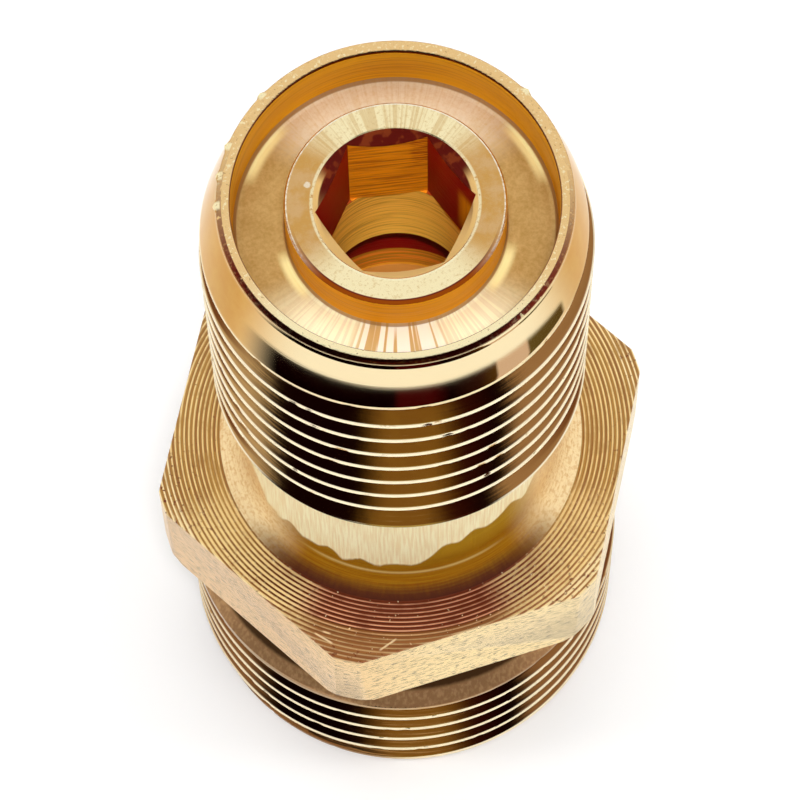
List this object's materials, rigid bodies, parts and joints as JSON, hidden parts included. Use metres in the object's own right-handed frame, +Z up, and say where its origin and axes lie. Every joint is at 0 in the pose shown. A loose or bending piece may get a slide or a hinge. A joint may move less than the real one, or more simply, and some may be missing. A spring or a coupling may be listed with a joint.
{
  "type": "threaded adapter",
  "caption": "One-piece turned brass adapter with a small thread over a neck, a spanner hexagon and a large thread, and a key socket in a recessed face.",
  "frame": {"origin": "middle of the large end's face, on the axis, where the adapter stands", "axes": "+Z up the axis towards the small thread's rim, +X through a corner of the key socket"},
  "size_m": [0.0222, 0.0214, 0.0413],
  "materials": {
    "brass_body": "bright as machined, with turning marks"
  },
  "bodies": {
    "root": {"adapter_body": "brass_body"}
  },
  "joints": []
}
